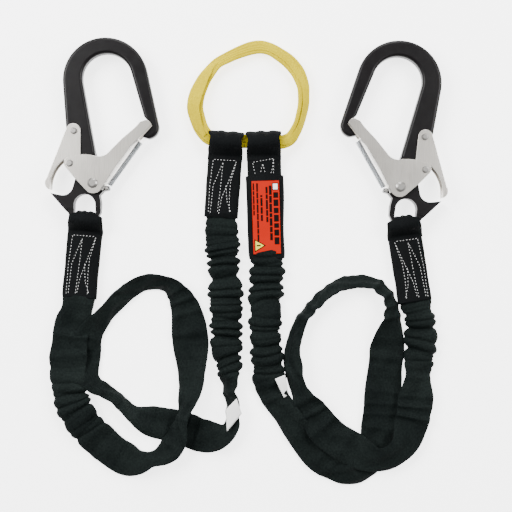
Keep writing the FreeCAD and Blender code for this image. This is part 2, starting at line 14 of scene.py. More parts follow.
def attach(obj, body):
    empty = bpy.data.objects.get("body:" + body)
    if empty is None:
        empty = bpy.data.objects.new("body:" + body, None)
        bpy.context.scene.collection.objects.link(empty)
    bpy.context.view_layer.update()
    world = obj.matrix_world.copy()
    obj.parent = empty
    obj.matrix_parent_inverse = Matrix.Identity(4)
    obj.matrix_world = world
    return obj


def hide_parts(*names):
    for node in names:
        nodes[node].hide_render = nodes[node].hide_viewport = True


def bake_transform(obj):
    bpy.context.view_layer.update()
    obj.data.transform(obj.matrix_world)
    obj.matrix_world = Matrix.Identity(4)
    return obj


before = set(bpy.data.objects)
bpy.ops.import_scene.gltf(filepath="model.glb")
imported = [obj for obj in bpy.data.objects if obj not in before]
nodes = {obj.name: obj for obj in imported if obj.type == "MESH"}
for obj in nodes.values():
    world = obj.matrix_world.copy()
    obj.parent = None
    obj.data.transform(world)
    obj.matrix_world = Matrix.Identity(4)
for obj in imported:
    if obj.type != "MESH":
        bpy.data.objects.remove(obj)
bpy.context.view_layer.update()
bpy.ops.object.select_all(action="DESELECT")

# %% [markdown]
# The camera looks straight down from 1.3 m, as over a table. The floor is a plain pale sheet that runs far
# past the view. It glows a little, as a light table does, so that the shadows stay faint and the object can
# be lit gently enough to keep its blacks and its bright cloth true. Three large soft lights do the rest.

# %% Camera, floor and lights
VIEW_HEIGHT = 1.3
VIEW_WIDTH = 0.6656
VIEW_CENTRE = (0.0139, -0.1122)
LEVEL = 0.015
SENSOR_WIDTH = 36
FLOOR_SIZE = 14
FLOOR_CENTRE = (0, -0.11, 0)
LIGHT_AIM = (0, -0.1, 0)
BOOTH_GLOW = 0.34

camera_data = bpy.data.cameras.new("camera")
camera_data.sensor_width = SENSOR_WIDTH
camera_data.lens = SENSOR_WIDTH * VIEW_HEIGHT / VIEW_WIDTH
camera = bpy.data.objects.new("camera", camera_data)
camera.location = (*VIEW_CENTRE, LEVEL + VIEW_HEIGHT)
bpy.context.collection.objects.link(camera)
bpy.context.scene.camera = camera

bpy.ops.mesh.primitive_plane_add(size=FLOOR_SIZE, location=FLOOR_CENTRE)
floor = bpy.context.object
floor.name = "floor"


def area_light(name, place, aim, size, power):
    """A square softbox at a place, turned to a point."""
    data = bpy.data.lights.new(name, "AREA")
    data.shape = "SQUARE"
    data.size = size
    data.energy = power
    lamp = bpy.data.objects.new(name, data)
    lamp.location = place
    lamp.rotation_euler = (Vector(aim) - Vector(place)).to_track_quat("-Z", "Y").to_euler()
    bpy.context.collection.objects.link(lamp)


area_light("softbox_left", (-1.5, 0.6, 1.7), LIGHT_AIM, size=1.3, power=105)
area_light("softbox_right", (1.6, 0.3, 1.7), LIGHT_AIM, size=1.3, power=66)
area_light("softbox_back", (0.1, 1.9, 1.4), LIGHT_AIM, size=1.2, power=62)
world = bpy.data.worlds.new("booth")
world.use_nodes = True
world.node_tree.nodes["Background"].inputs["Color"].default_value = (1, 1, 1, 1)
world.node_tree.nodes["Background"].inputs["Strength"].default_value = BOOTH_GLOW
bpy.context.scene.world = world
print("camera at", [round(v, 3) for v in camera.location])

# %% [markdown]
# Finishes. Two effects are shared, so each is a node group: a woven tape (fine warp and weft with uneven
# dye) and a metal surface (faint scratches over cloudy patches), which the zinc plates, the rivets, the
# spring wire and, much darker, the forged bodies use. Each material holds its own shader and gives its
# group its own values.

# %% Node helpers
def add_node(tree, kind, at=(0, 0), **values):
    """A node with its settings; a value named like a socket sets that socket."""
    node = tree.nodes.new(kind)
    node.location = at
    for key, value in values.items():
        if hasattr(node, key):
            setattr(node, key, value)
        else:
            node.inputs[key.replace("_", " ")].default_value = value
    return node


def new_group(name, sockets_in, sockets_out):
    """A shader node group with named inputs and outputs."""
    group = bpy.data.node_groups.new(name, "ShaderNodeTree")
    for label, kind, default in sockets_in:
        socket = group.interface.new_socket(name=label, in_out="INPUT", socket_type=kind)
        socket.default_value = default
    for label, kind in sockets_out:
        group.interface.new_socket(name=label, in_out="OUTPUT", socket_type=kind)
    return group, group.nodes.new("NodeGroupInput"), group.nodes.new("NodeGroupOutput")


# %% The woven tape effect
def build_weave_group():
    """Warp ribs along the tape, weft across it and slow patches of uneven dye."""
    group, given, out = new_group(
        "woven_tape",
        [
            ("Vector", "NodeSocketVector", (0, 0, 0)),
            ("Yarn", "NodeSocketColor", (0.02, 0.02, 0.02, 1)),
            ("Worn", "NodeSocketColor", (0.03, 0.03, 0.03, 1)),
            ("Rib Scale", "NodeSocketFloat", 900.0),
            ("Weft Scale", "NodeSocketFloat", 700.0),
        ],
        [("Color", "NodeSocketColor"), ("Height", "NodeSocketFloat"), ("Roughness", "NodeSocketFloat")],
    )
    link = group.links.new
    split = add_node(group, "ShaderNodeSeparateXYZ")
    link(given.outputs["Vector"], split.inputs[0])
    waves = []
    for axis, scale in (("Y", "Rib Scale"), ("X", "Weft Scale")):
        turn = add_node(group, "ShaderNodeMath", operation="MULTIPLY")
        link(split.outputs[axis], turn.inputs[0])
        link(given.outputs[scale], turn.inputs[1])
        wave = add_node(group, "ShaderNodeMath", operation="SINE")
        link(turn.outputs[0], wave.inputs[0])
        waves.append(wave)
    cross = add_node(group, "ShaderNodeMath", operation="MULTIPLY")
    link(waves[0].outputs[0], cross.inputs[0])
    link(waves[1].outputs[0], cross.inputs[1])
    ribs = add_node(group, "ShaderNodeMath", operation="MULTIPLY_ADD")
    link(waves[0].outputs[0], ribs.inputs[0])
    ribs.inputs[1].default_value = 0.35
    link(cross.outputs[0], ribs.inputs[2])
    link(ribs.outputs[0], out.inputs["Height"])
    patches = add_node(group, "ShaderNodeTexNoise", Scale=14.0, Detail=4.0, Roughness=0.6)
    link(given.outputs["Vector"], patches.inputs["Vector"])
    lint = add_node(group, "ShaderNodeTexNoise", Scale=420.0, Detail=2.0)
    link(given.outputs["Vector"], lint.inputs["Vector"])
    both = add_node(group, "ShaderNodeMath", operation="MULTIPLY")
    link(patches.outputs["Fac"], both.inputs[0])
    link(lint.outputs["Fac"], both.inputs[1])
    spread = add_node(group, "ShaderNodeMapRange")
    spread.inputs["From Min"].default_value = 0.12
    spread.inputs["From Max"].default_value = 0.42
    link(both.outputs[0], spread.inputs["Value"])
    mix = add_node(group, "ShaderNodeMix", data_type="RGBA")
    link(spread.outputs["Result"], mix.inputs["Factor"])
    link(given.outputs["Yarn"], mix.inputs[6])
    link(given.outputs["Worn"], mix.inputs[7])
    link(mix.outputs[2], out.inputs["Color"])
    rough = add_node(group, "ShaderNodeMapRange")
    rough.inputs["To Min"].default_value = 0.62
    rough.inputs["To Max"].default_value = 0.85
    link(lint.outputs["Fac"], rough.inputs["Value"])
    link(rough.outputs["Result"], out.inputs["Roughness"])
    return group


weave_group = build_weave_group()


# %% The rolled sheet effect
def build_sheet_group():
    """Metal: faint scratches, drawn out along one axis where Stretch says so, over cloudy patches."""
    group, given, out = new_group(
        "rolled_sheet",
        [
            ("Vector", "NodeSocketVector", (0, 0, 0)),
            ("Bright", "NodeSocketColor", (0.8, 0.8, 0.78, 1)),
            ("Dull", "NodeSocketColor", (0.6, 0.6, 0.58, 1)),
            ("Stretch", "NodeSocketVector", (1, 1, 1)),
        ],
        [("Color", "NodeSocketColor"), ("Height", "NodeSocketFloat"), ("Roughness", "NodeSocketFloat")],
    )
    link = group.links.new
    scaled = add_node(group, "ShaderNodeVectorMath", operation="MULTIPLY")
    link(given.outputs["Vector"], scaled.inputs[0])
    link(given.outputs["Stretch"], scaled.inputs[1])
    lines = add_node(group, "ShaderNodeTexNoise", Scale=90.0, Detail=5.0)
    link(scaled.outputs[0], lines.inputs["Vector"])
    clouds = add_node(group, "ShaderNodeTexNoise", Scale=28.0, Detail=3.0)
    link(given.outputs["Vector"], clouds.inputs["Vector"])
    grain = add_node(group, "ShaderNodeMath", operation="MULTIPLY_ADD")
    link(lines.outputs["Fac"], grain.inputs[0])
    grain.inputs[1].default_value = 1.6
    grain.inputs[2].default_value = -0.55
    blend = add_node(group, "ShaderNodeMath", operation="ADD")
    link(grain.outputs[0], blend.inputs[0])
    link(clouds.outputs["Fac"], blend.inputs[1])
    half = add_node(group, "ShaderNodeMath", operation="MULTIPLY", use_clamp=True)
    link(blend.outputs[0], half.inputs[0])
    half.inputs[1].default_value = 0.6
    mix = add_node(group, "ShaderNodeMix", data_type="RGBA")
    link(half.outputs[0], mix.inputs[0])
    link(given.outputs["Bright"], mix.inputs[6])
    link(given.outputs["Dull"], mix.inputs[7])
    link(mix.outputs[2], out.inputs["Color"])
    link(lines.outputs["Fac"], out.inputs["Height"])
    rough = add_node(group, "ShaderNodeMapRange")
    rough.inputs["To Min"].default_value = 0.24
    rough.inputs["To Max"].default_value = 0.46
    link(lines.outputs["Fac"], rough.inputs["Value"])
    link(rough.outputs["Result"], out.inputs["Roughness"])
    return group


sheet_group = build_sheet_group()


# %% Materials
def grouped_material(name, group, coordinate, inputs, bump, distance, edge=0.0, **shader):
    """A material whose colour, roughness and bump come from a group. edge softens a metal's sharp edges."""
    material = bpy.data.materials.new(name)
    material.use_nodes = True
    tree = material.node_tree
    principled = tree.nodes["Principled BSDF"]
    for socket, value in shader.items():
        principled.inputs[socket.replace("_", " ")].default_value = value
    texture = add_node(tree, "ShaderNodeTexCoord", (-900, 0))
    effect = add_node(tree, "ShaderNodeGroup", (-600, 0), node_tree=group)
    for socket, value in inputs.items():
        effect.inputs[socket].default_value = value
    relief = add_node(tree, "ShaderNodeBump", (-300, -200), Strength=bump, Distance=distance)
    tree.links.new(texture.outputs[coordinate], effect.inputs["Vector"])
    tree.links.new(effect.outputs["Color"], principled.inputs["Base Color"])
    tree.links.new(effect.outputs["Roughness"], principled.inputs["Roughness"])
    tree.links.new(effect.outputs["Height"], relief.inputs["Height"])
    tree.links.new(relief.outputs["Normal"], principled.inputs["Normal"])
    if edge:
        soft = add_node(tree, "ShaderNodeBevel", (-500, -300), samples=6, Radius=edge)
        tree.links.new(soft.outputs["Normal"], relief.inputs["Normal"])
    return material


def woven(name, yarn, worn, rib=3800.0, weft=2600.0, sheen=0.0, bump=0.6, coordinate="UV"):
    """A cloth of one yarn colour that lightens where it is worn."""
    return grouped_material(
        name, weave_group, coordinate,
        {"Yarn": (*yarn, 1), "Worn": (*worn, 1), "Rib Scale": rib, "Weft Scale": weft},
        bump, 0.0003, Sheen_Weight=sheen, Sheen_Roughness=0.45, Specular_IOR_Level=0.04,
    )


leg_cloth = woven("leg_cloth", (0.0022, 0.0034, 0.0034), (0.0084, 0.0118, 0.0108))
pack_cloth = woven("pack_cloth", (0.0022, 0.0026, 0.0029), (0.0050, 0.0058, 0.0062), rib=3200.0, weft=2200.0)
core_cloth = woven("core_cloth", (0.40, 0.39, 0.34), (0.52, 0.50, 0.44))
yellow_cloth = woven(
    "yellow_cloth", (0.42, 0.32, 0.0), (0.56, 0.45, 0.0), rib=2600.0, weft=1900.0, sheen=0.05
)
tag_cloth = woven("tag_cloth", (0.78, 0.78, 0.76), (0.88, 0.88, 0.86), bump=0.2, coordinate="Object")
white_thread = woven("white_thread", (0.60, 0.61, 0.60), (0.78, 0.78, 0.77), bump=0.2, coordinate="Object")


def metal(name, bright, dull, stretch, bump, distance=0.0003, edge=0.0, **shader):
    """A metal surface between a bright and a dull colour."""
    inputs = {"Bright": (*bright, 1), "Dull": (*dull, 1), "Stretch": stretch}
    return grouped_material(name, sheet_group, "Object", inputs, bump, distance, edge, **shader)


plate_zinc = metal("plate_zinc", (0.70, 0.67, 0.62), (0.34, 0.32, 0.29), (9.0, 0.5, 1.0), 0.12, edge=0.0009,
                   Metallic=1.0)
rivet_zinc = metal("rivet_zinc", (0.44, 0.43, 0.41), (0.20, 0.19, 0.18), (2.0, 2.0, 2.0), 0.05, Metallic=0.9)
spring_wire = metal("spring_wire", (0.50, 0.52, 0.54), (0.30, 0.32, 0.34), (1.0, 1.0, 1.0), 0.04, 0.0002,
                    Metallic=0.9)
forged_black = metal("forged_black", (0.0046, 0.0038, 0.0042), (0.0020, 0.0018, 0.0020), (1.0, 1.0, 1.0),
                     0.10, 0.0004, Metallic=0.0, Specular_IOR_Level=0.16)

MATT_SPECULAR = 0.08
FLOOR_GLOW = 3.0


def plain_material(name, colour, roughness, spread=0.12):
    """Paint, print or paper: one colour with slow unevenness."""
    material = bpy.data.materials.new(name)
    material.use_nodes = True
    tree = material.node_tree
    principled = tree.nodes["Principled BSDF"]
    texture = add_node(tree, "ShaderNodeTexCoord", (-900, 0))
    mottle = add_node(tree, "ShaderNodeTexNoise", (-600, 0), Scale=60.0, Detail=3.0)
    ramp = add_node(tree, "ShaderNodeMix", (-300, 0), data_type="RGBA")
    ramp.inputs[6].default_value = (*[c * (1 - spread) for c in colour], 1)
    ramp.inputs[7].default_value = (*[min(1, c * (1 + spread)) for c in colour], 1)
    tree.links.new(texture.outputs["Object"], mottle.inputs["Vector"])
    tree.links.new(mottle.outputs["Fac"], ramp.inputs[0])
    tree.links.new(ramp.outputs[2], principled.inputs["Base Color"])
    principled.inputs["Roughness"].default_value = roughness
    principled.inputs["Specular IOR Level"].default_value = MATT_SPECULAR
    return material


label_orange = plain_material("label_orange", (0.34, 0.007, 0.0), 0.7)
label_ink = plain_material("label_ink", (0.004, 0.0015, 0.0015), 0.8)
label_yellow = plain_material("label_yellow", (0.62, 0.55, 0.05), 0.5)
label_white = plain_material("label_white", (0.84, 0.84, 0.82), 0.5, 0.05)
floor_white = plain_material("floor_white", (0.93, 0.93, 0.93), 0.9, 0.005)
floor_shader = floor_white.node_tree.nodes["Principled BSDF"]
floor_shader.inputs["Emission Color"].default_value = (1, 1, 1, 1)
floor_shader.inputs["Emission Strength"].default_value = FLOOR_GLOW
floor.data.materials.append(floor_white)

FINISHES = {
    "hook_body": forged_black,
    "gate": plate_zinc,
    "lock_lever": plate_zinc,
    "gate_rivet": rivet_zinc,
    "lever_rivet": rivet_zinc,
    "lock_pin": rivet_zinc,
    "spring_anchor": rivet_zinc,
}
for side in ("left", "right"):
    for part, finish in FINISHES.items():
        node = nodes[f"{side}_{part}"]
        if not node.material_slots:
            node.data.materials.append(finish)
        node.material_slots[0].material = finish
print("materials", len(bpy.data.materials))

# %% [markdown]
# Webbing is made as bands: rings of points round a line, each ring as wide and thick as the tape is there.
# A band's line can roll, so that a tape stands on its edge where it turns, and its surface can carry
# relief, for gathers and creases. The UV map holds metres along and across, so that the weave keeps its
# scale.

# %% Band builder
AROUND = 56
FLOOR_GAP = 0.0002


def mesh_object(name, points, faces, uv=None, material=None):
    """An object with smooth faces at the origin. uv is a pair of metres for each point."""
    mesh = bpy.data.meshes.new(name)
    mesh.from_pydata(points.tolist(), [], faces)
    mesh.shade_smooth()
    if uv is not None:
        layer = mesh.uv_layers.new(name="UVMap")
        corners = np.empty(len(mesh.loops), dtype=np.int32)
        mesh.loops.foreach_get("vertex_index", corners)
        layer.data.foreach_set("uv", uv[corners].astype(np.float32).ravel())
    obj = bpy.data.objects.new(name, mesh)
    bpy.context.collection.objects.link(obj)
    if material is not None:
        mesh.materials.append(material)
    return obj


def unit(vectors):
    """Each row divided by its length."""
    return vectors / np.maximum(np.linalg.norm(vectors, axis=1, keepdims=True), 1e-12)


def arc_lengths(line):
    """How far along a line each of its points is."""
    return np.concatenate([[0.0], np.cumsum(np.linalg.norm(np.diff(line, axis=0), axis=1))])


def band(name, line, side, up, half_width, half_thick, relief=None, edge=2.6, around=AROUND, material=None,
         closed=False, bend=None, rests=False):
    """A tape round a line. relief gives metres out of the surface, and bend metres up for both of its faces.
    rests keeps the tape's underside on the floor."""
    count = len(line)
    angle = np.linspace(0, 2 * np.pi, around, endpoint=False)
    across = np.cos(angle)
    rise = np.sign(np.sin(angle)) * np.sqrt(np.maximum(0, 1 - np.abs(across) ** edge))
    along = arc_lengths(line)
    points = (
        line[:, None, :]
        + side[:, None, :] * (half_width[:, None] * across[None, :])[..., None]
        + up[:, None, :] * (half_thick[:, None] * rise[None, :])[..., None]
    )
    if relief is not None:
        out = (
            side[:, None, :] * (half_thick[:, None] * np.sign(across) * np.abs(across) ** 3)[..., None]
            + up[:, None, :] * (half_width[:, None] * rise[None, :])[..., None]
        )
        out /= np.maximum(np.linalg.norm(out, axis=2, keepdims=True), 1e-12)
        height = relief(along[:, None] + 0 * across[None, :], across[None, :] + 0 * along[:, None])
        points = points + out * height[..., None]
    if bend is not None:
        points = points + up[:, None, :] * bend(along[:, None], across[None, :])[..., None]
    if rests:
        points[..., 2] = np.maximum(points[..., 2], FLOOR_GAP)
    flat = points.reshape(-1, 3)
    uv = np.stack([np.repeat(along, around), (half_width[:, None] * across[None, :]).ravel()], axis=1)
    faces = []
    for i in range(count if closed else count - 1):
        a, b = i * around, ((i + 1) % count) * around
        for j in range(around):
            k = (j + 1) % around
            faces.append((a + j, b + j, b + k, a + k))
    if not closed:
        faces.append(tuple(range(around)))
        faces.append(tuple(reversed(range((count - 1) * around, count * around))))
    return mesh_object(name, flat, faces, uv, material)


def smooth(values, reach, ends="edge"):
    """Each value averaged with those about it. ends is edge for an open line and wrap for a closed one."""
    reach = max(1, int(reach))
    kernel = np.hanning(2 * reach + 3)[1:-1]
    kernel /= kernel.sum()
    padded = np.pad(values, reach, mode=ends)
    return np.convolve(padded, kernel, mode="valid")


def wobble(along, seed):
    """Smooth noise in -1..1 for each number. Each seed reads another row of the noise."""
    values = [noise.noise(Vector((float(v), seed * 7.31, seed * 1.7))) for v in np.ravel(along)]
    return np.array(values).reshape(np.shape(along))


def rolled(side, up, turn):
    """Side and up vectors turned about their line, by radians given as a column."""
    return side * np.cos(turn) + up * np.sin(turn), up * np.cos(turn) - side * np.sin(turn)


# %% [markdown]
# The legs. Each leg's route follows the design's list of points from its hook to the middle, with some
# moved and some added. Each point has the height of what the tape lies on there and how it lies. The points
# are the control points of a NURBS spline, whose line the band follows. A tape lies in one of a few ways,
# so each way has a name with its width, roll and gather.

# %% Leg routes
# Width in metres, roll in degrees (0 is flat, 90 stands on edge) and gather from 0 to 1
LIES = {
    "sewn": (0.043, 0, 0.30),
    "gathered": (0.041, 0, 1.00),
    "bunched": (0.042, 0, 0.85),
    "pinched": (0.032, 8, 0.90),
    "flat": (0.047, 0, 0.05),
    "narrow": (0.040, 5, 0.05),
    "tipped": (0.034, 20, 0.05),
    "standing": (0.027, 36, 0.05),
    "twisted": (0.021, 42, 0.10),
}
ON_FLOOR = 0.0
ON_EDGE = 0.004
ON_TAPE = 0.008
BLEND_STEPS = 9

LEFT_LEG = [
    (-0.2168, -0.164, ON_EDGE, "sewn"), (-0.219, -0.182, ON_EDGE, "narrow"),
    (-0.227, -0.206, ON_TAPE, "flat"), (-0.231, -0.242, ON_TAPE, "flat"),
    (-0.232, -0.284, ON_EDGE, "bunched"), (-0.217, -0.325, ON_EDGE, "bunched"),
    (-0.185, -0.360, ON_FLOOR, "flat"), (-0.149, -0.384, ON_FLOOR, "narrow"),
    (-0.119, -0.379, ON_EDGE, "twisted"), (-0.093, -0.362, ON_TAPE, "tipped"),
    (-0.078, -0.322, ON_TAPE, "twisted"), (-0.069, -0.281, ON_EDGE, "tipped"),
    (-0.071, -0.228, ON_FLOOR, "flat"), (-0.077, -0.177, ON_FLOOR, "narrow"),
    (-0.097, -0.147, ON_FLOOR, "standing"), (-0.128, -0.142, ON_FLOOR, "standing"),
    (-0.156, -0.158, ON_FLOOR, "standing"), (-0.182, -0.186, ON_FLOOR, "standing"),
    (-0.206, -0.214, ON_FLOOR, "tipped"), (-0.214, -0.248, ON_FLOOR, "flat"),
    (-0.203, -0.280, ON_FLOOR, "standing"), (-0.174, -0.294, ON_FLOOR, "twisted"),
    (-0.152, -0.317, ON_FLOOR, "twisted"), (-0.124, -0.329, ON_FLOOR, "narrow"),
    (-0.087, -0.336, ON_FLOOR, "flat"), (-0.050, -0.351, ON_FLOOR, "flat"),
    (-0.019, -0.345, ON_FLOOR, "standing"), (-0.013, -0.318, ON_FLOOR, "twisted"),
    (-0.019, -0.288, ON_FLOOR, "twisted"), (-0.021, -0.260, ON_FLOOR, "pinched"),
    (-0.025, -0.228, ON_FLOOR, "gathered"), (-0.025, -0.189, ON_FLOOR, "gathered"),
    (-0.026, -0.150, ON_FLOOR, "gathered"), (-0.030, -0.111, ON_FLOOR, "gathered"),
    (-0.0318, -0.056, ON_FLOOR, "sewn"),
]
RIGHT_LEG = [
    (0.2212, -0.168, ON_FLOOR, "sewn"), (0.227, -0.188, ON_FLOOR, "gathered"),
    (0.230, -0.208, ON_FLOOR, "gathered"), (0.227, -0.242, ON_FLOOR, "gathered"),
    (0.224, -0.266, ON_EDGE, "tipped"), (0.223, -0.296, ON_TAPE, "flat"), (0.217, -0.332, ON_TAPE, "flat"),
    (0.203, -0.366, ON_TAPE, "tipped"), (0.174, -0.380, ON_TAPE, "tipped"),
    (0.140, -0.364, ON_TAPE, "flat"), (0.109, -0.346, ON_TAPE, "flat"), (0.087, -0.316, ON_TAPE, "narrow"),
    (0.068, -0.284, ON_EDGE, "standing"), (0.063, -0.250, ON_FLOOR, "standing"),
    (0.066, -0.210, ON_FLOOR, "twisted"), (0.086, -0.180, ON_FLOOR, "twisted"),
    (0.120, -0.150, ON_FLOOR, "twisted"), (0.158, -0.144, ON_FLOOR, "twisted"),
    (0.184, -0.160, ON_FLOOR, "twisted"), (0.192, -0.190, ON_FLOOR, "standing"),
    (0.185, -0.234, ON_FLOOR, "flat"), (0.181, -0.284, ON_FLOOR, "flat"), (0.175, -0.336, ON_FLOOR, "flat"),
    (0.167, -0.376, ON_FLOOR, "narrow"), (0.141, -0.400, ON_FLOOR, "tipped"),
    (0.105, -0.384, ON_FLOOR, "narrow"), (0.077, -0.352, ON_FLOOR, "narrow"),
    (0.055, -0.320, ON_FLOOR, "tipped"), (0.033, -0.289, ON_FLOOR, "narrow"),
    (0.029, -0.250, ON_FLOOR, "gathered"), (0.025, -0.205, ON_FLOOR, "gathered"),
    (0.027, -0.158, ON_FLOOR, "gathered"), (0.029, -0.114, ON_FLOOR, "gathered"),
    (0.0265, -0.056, ON_FLOOR, "sewn"),
]


def route_line(name, route):
    """The smooth line of the NURBS spline that has the route's points as its control points."""
    data = bpy.data.curves.new(f"{name}_route", "CURVE")
    data.dimensions = "3D"
    spline = data.splines.new("NURBS")
    spline.points.add(len(route) - 1)
    for point, place in zip(spline.points, route):
        point.co = (*place[:3], 1)
    spline.order_u = 3
    spline.use_endpoint_u = True
    data.resolution_u = 12
    holder = bpy.data.objects.new(f"{name}_route", data)
    bpy.context.collection.objects.link(holder)
    mesh = bpy.data.meshes.new_from_object(holder)
    line = np.array([v.co for v in mesh.vertices])
    bpy.data.objects.remove(holder)
    bpy.data.meshes.remove(mesh)
    return line


def evenly(line, step):
    """The same line with points a step apart."""
    along = arc_lengths(line)
    places = np.linspace(0, along[-1], int(along[-1] / step) + 1)
    return np.stack([np.interp(places, along, line[:, k]) for k in range(3)], axis=1)


def lay_values(route, line):
    """Width, roll and gather along the line, from those given at the route's points."""
    along = arc_lengths(line)
    at = [along[np.argmin(np.linalg.norm(line - np.array(p[:3]), axis=1))] for p in route]
    at = np.maximum.accumulate(np.array(at) + np.arange(len(at)) * 1e-7)
    lies = [LIES[p[3]] for p in route]
    return [smooth(np.interp(along, at, [lie[k] for lie in lies]), BLEND_STEPS) for k in range(3)]


# %% Gathers and folds
# The pitch of the gathers, and the depths of their lobes and of the loose folds, in metres
PLEAT = 0.0118
LARGE_LOBE, BROAD_LOBE, FINE_LOBE = 0.0044, 0.0042, 0.0004
FOLD, CROSS_FOLD, RIPPLE, EDGE_CURL = 0.0036, 0.0013, 0.0016, 0.0014


def lobes(phase):
    """Rounded lobes from 0 to 1 with sharp notches between them, one for each whole phase."""
    return 1 - np.abs(2 * (phase % 1) - 1) ** 2.4


def gathered(gather, seed):
    """Relief for gathered webbing: lobes of uneven width that slant and bow across the tape."""

    def relief(along, across):
        column = along[:, 0]
        drift = (wobble(column / 0.042, seed) * 1.3)[:, None]
        slant = (wobble(column / 0.034, seed + 1) * 0.70)[:, None]
        bow = (wobble(column / 0.036, seed + 2) * 0.50)[:, None]
        size = np.clip(0.70 + 1.1 * wobble(column / 0.024, seed + 4), 0.15, 1.4)[:, None]
        fork = (wobble(column / 0.036, seed + 8) * 0.4)[:, None]
        phase = along / PLEAT + drift + slant * across + bow * across**2
        large = lobes(phase) - 0.68
        broad = lobes(0.43 * phase + fork * across + 0.3) - 0.66
        fine = lobes(2.3 * phase - 0.9 * across) - 0.66
        return gather[:, None] * (LARGE_LOBE * size * large + BROAD_LOBE * broad + FINE_LOBE * fine)

    return relief


def folded(gather, seed):
    """Bends of loose webbing: soft slanting folds, ripples along it and curling edges."""

    def bend(along, across):
        column = along[:, 0]
        drift = (wobble(column / 0.060, seed + 11) * 2.2)[:, None]
        tilt = (wobble(column / 0.050, seed + 12) * 0.9)[:, None]
        curl = (wobble(column / 0.040, seed + 13))[:, None]
        show = np.clip(0.5 + 1.3 * wobble(column / 0.055, seed + 14), 0, 1)[:, None]
        fold = (0.5 + 0.5 * np.sin(2 * np.pi * (along / 0.044 + drift + 0.35 * tilt * across))) ** 2
        cross = (0.5 + 0.5 * np.sin(2 * np.pi * (along / 0.023 - drift - 0.6 * tilt * across))) ** 2
        ripple = 0.5 + 0.5 * np.sin(np.pi * (1.7 * across + 2.4 * curl))
        edges = across**2 * (0.5 + curl)
        loose = 1 - 0.85 * gather[:, None]
        high = FOLD * fold * show + CROSS_FOLD * cross * (1 - show) + RIPPLE * ripple + EDGE_CURL * edges
        return loose * high

    return bend


# %% Build the legs
LEG_STEP = 0.0011
TAPE_HALF_THICK = 0.0018
GATHER_HALF_THICK = 0.0060
CORE_WIDTH_SHARE = 0.4
CORE_DEPTH_SHARE = 0.25


def leg_frames(line, roll, half_width, half_thick):
    """Rolled side and up vectors, and the line lifted so that its low edge lies on what is under it."""
    ahead = unit(np.gradient(line, axis=0))
    side = unit(np.stack([ahead[:, 1], -ahead[:, 0], 0 * ahead[:, 0]], axis=1))
    up = unit(np.cross(side, ahead))
    turn = np.radians(roll)[:, None]
    lifted = line.copy()
    lifted[:, 2] = np.maximum(0, line[:, 2]) + half_width * np.abs(np.sin(turn[:, 0]))
    lifted[:, 2] += half_thick * np.abs(np.cos(turn[:, 0]))
    return *rolled(side, up, turn), lifted


def build_leg(name, route, seed):
    """A gathered jacket along the route with its flat core inside."""
    line = evenly(route_line(name, route), LEG_STEP)
    width, roll, gather = lay_values(route, line)
    along = arc_lengths(line)
    flutter = 0.12 * wobble(along / 0.031, seed + 20) + 0.09 * gather * wobble(along / 0.020, seed + 21)
    half_width = width / 2 * (1 + flutter)
    half_thick = TAPE_HALF_THICK + GATHER_HALF_THICK * gather
    side, up, lifted = leg_frames(line, roll, half_width, half_thick)
    bends = folded(gather, seed)
    jacket = band(f"{name}_leg_webbing", lifted, side, up, half_width, half_thick, gathered(gather, seed),
                  edge=3.0, material=leg_cloth, bend=bends, rests=True)
    core = band(f"{name}_stretch_core", lifted, side, up, half_width * CORE_WIDTH_SHARE,
                half_thick * CORE_DEPTH_SHARE, around=16, material=core_cloth,
                bend=lambda along, across: bends(along, CORE_WIDTH_SHARE * across))
    for piece, cad, slot in ((jacket, "jacket", "black_webbing"), (core, "core", "stretch_core")):
        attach(piece, "legs")
        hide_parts(f"{name}_leg_{cad}")
    print(name, "leg", round(arc_lengths(lifted)[-1], 3), "m,", len(jacket.data.polygons), "faces")
    return jacket, core, lifted


left_jacket, left_core, left_line = build_leg("left", LEFT_LEG, 11)
right_jacket, right_core, right_line = build_leg("right", RIGHT_LEG, 29)

# %% [markdown]
# Places on the sewn ends. Each end has its own flat frame: x across it, y towards its eye and z up from the
# surface. The frame's origin is the middle of what the webbing goes round.

# %% Frames of the sewn ends and hooks
HOOKS = {"left": (-0.1968, -0.0181, 0.0, 1), "right": (0.2002, -0.0230, -6.3, -1)}
HOOK_LEVEL = 0.015
LEANS = {"left_hook": -5.2, "right_hook": 8.9, "left_middle": -4.0, "right_middle": 1.6}
EYE_BAR = (-0.0110, -0.0465)
TETHER_Y = 0.037
MIDDLE_X = {"left": -0.0251, "right": 0.0237}


def hook_frame(name):
    """From a hook's own frame, drawn for the left hook, to the row frame."""
    x, y, turn, side = HOOKS[name]
    turned = Matrix.Translation((x, y, HOOK_LEVEL)) @ Matrix.Rotation(math.radians(turn), 4, "Z")
    return turned @ Matrix.Diagonal((side, 1, 1, 1))


def end_frame(name, place):
    """A sewn end's frame."""
    if place == "hook":
        x, y = (hook_frame(name) @ Vector((*EYE_BAR, 0))).xy
    else:
        x, y = MIDDLE_X[name], TETHER_Y
    return Matrix.Translation((x, y, 0)) @ Matrix.Rotation(math.radians(LEANS[f"{name}_{place}"]), 4, "Z")


def settle(obj, matrix):
    """Moves a finished object's mesh into place, so that the object stays at the origin."""
    obj.data.transform(matrix)
    if matrix.determinant() < 0:
        obj.data.flip_normals()
    return obj


def straight_frames(line, side=(1, 0, 0)):
    """Side and up vectors of a line that bends in the plane square to the side."""
    ahead = unit(np.gradient(line, axis=0))
    sides = np.tile(np.array(side, dtype=float), (len(line), 1))
    return sides, unit(np.cross(sides, ahead))


def spline_points(points, count):
    """A smooth line through a few points."""
    points = np.array(points, dtype=float)
    at = arc_lengths(points)
    fine = np.linspace(0, at[-1], count)
    rough = np.stack([np.interp(fine, at, points[:, k]) for k in range(points.shape[1])], axis=1)
    return np.stack([smooth(rough[:, k], count // 18) for k in range(points.shape[1])], axis=1)


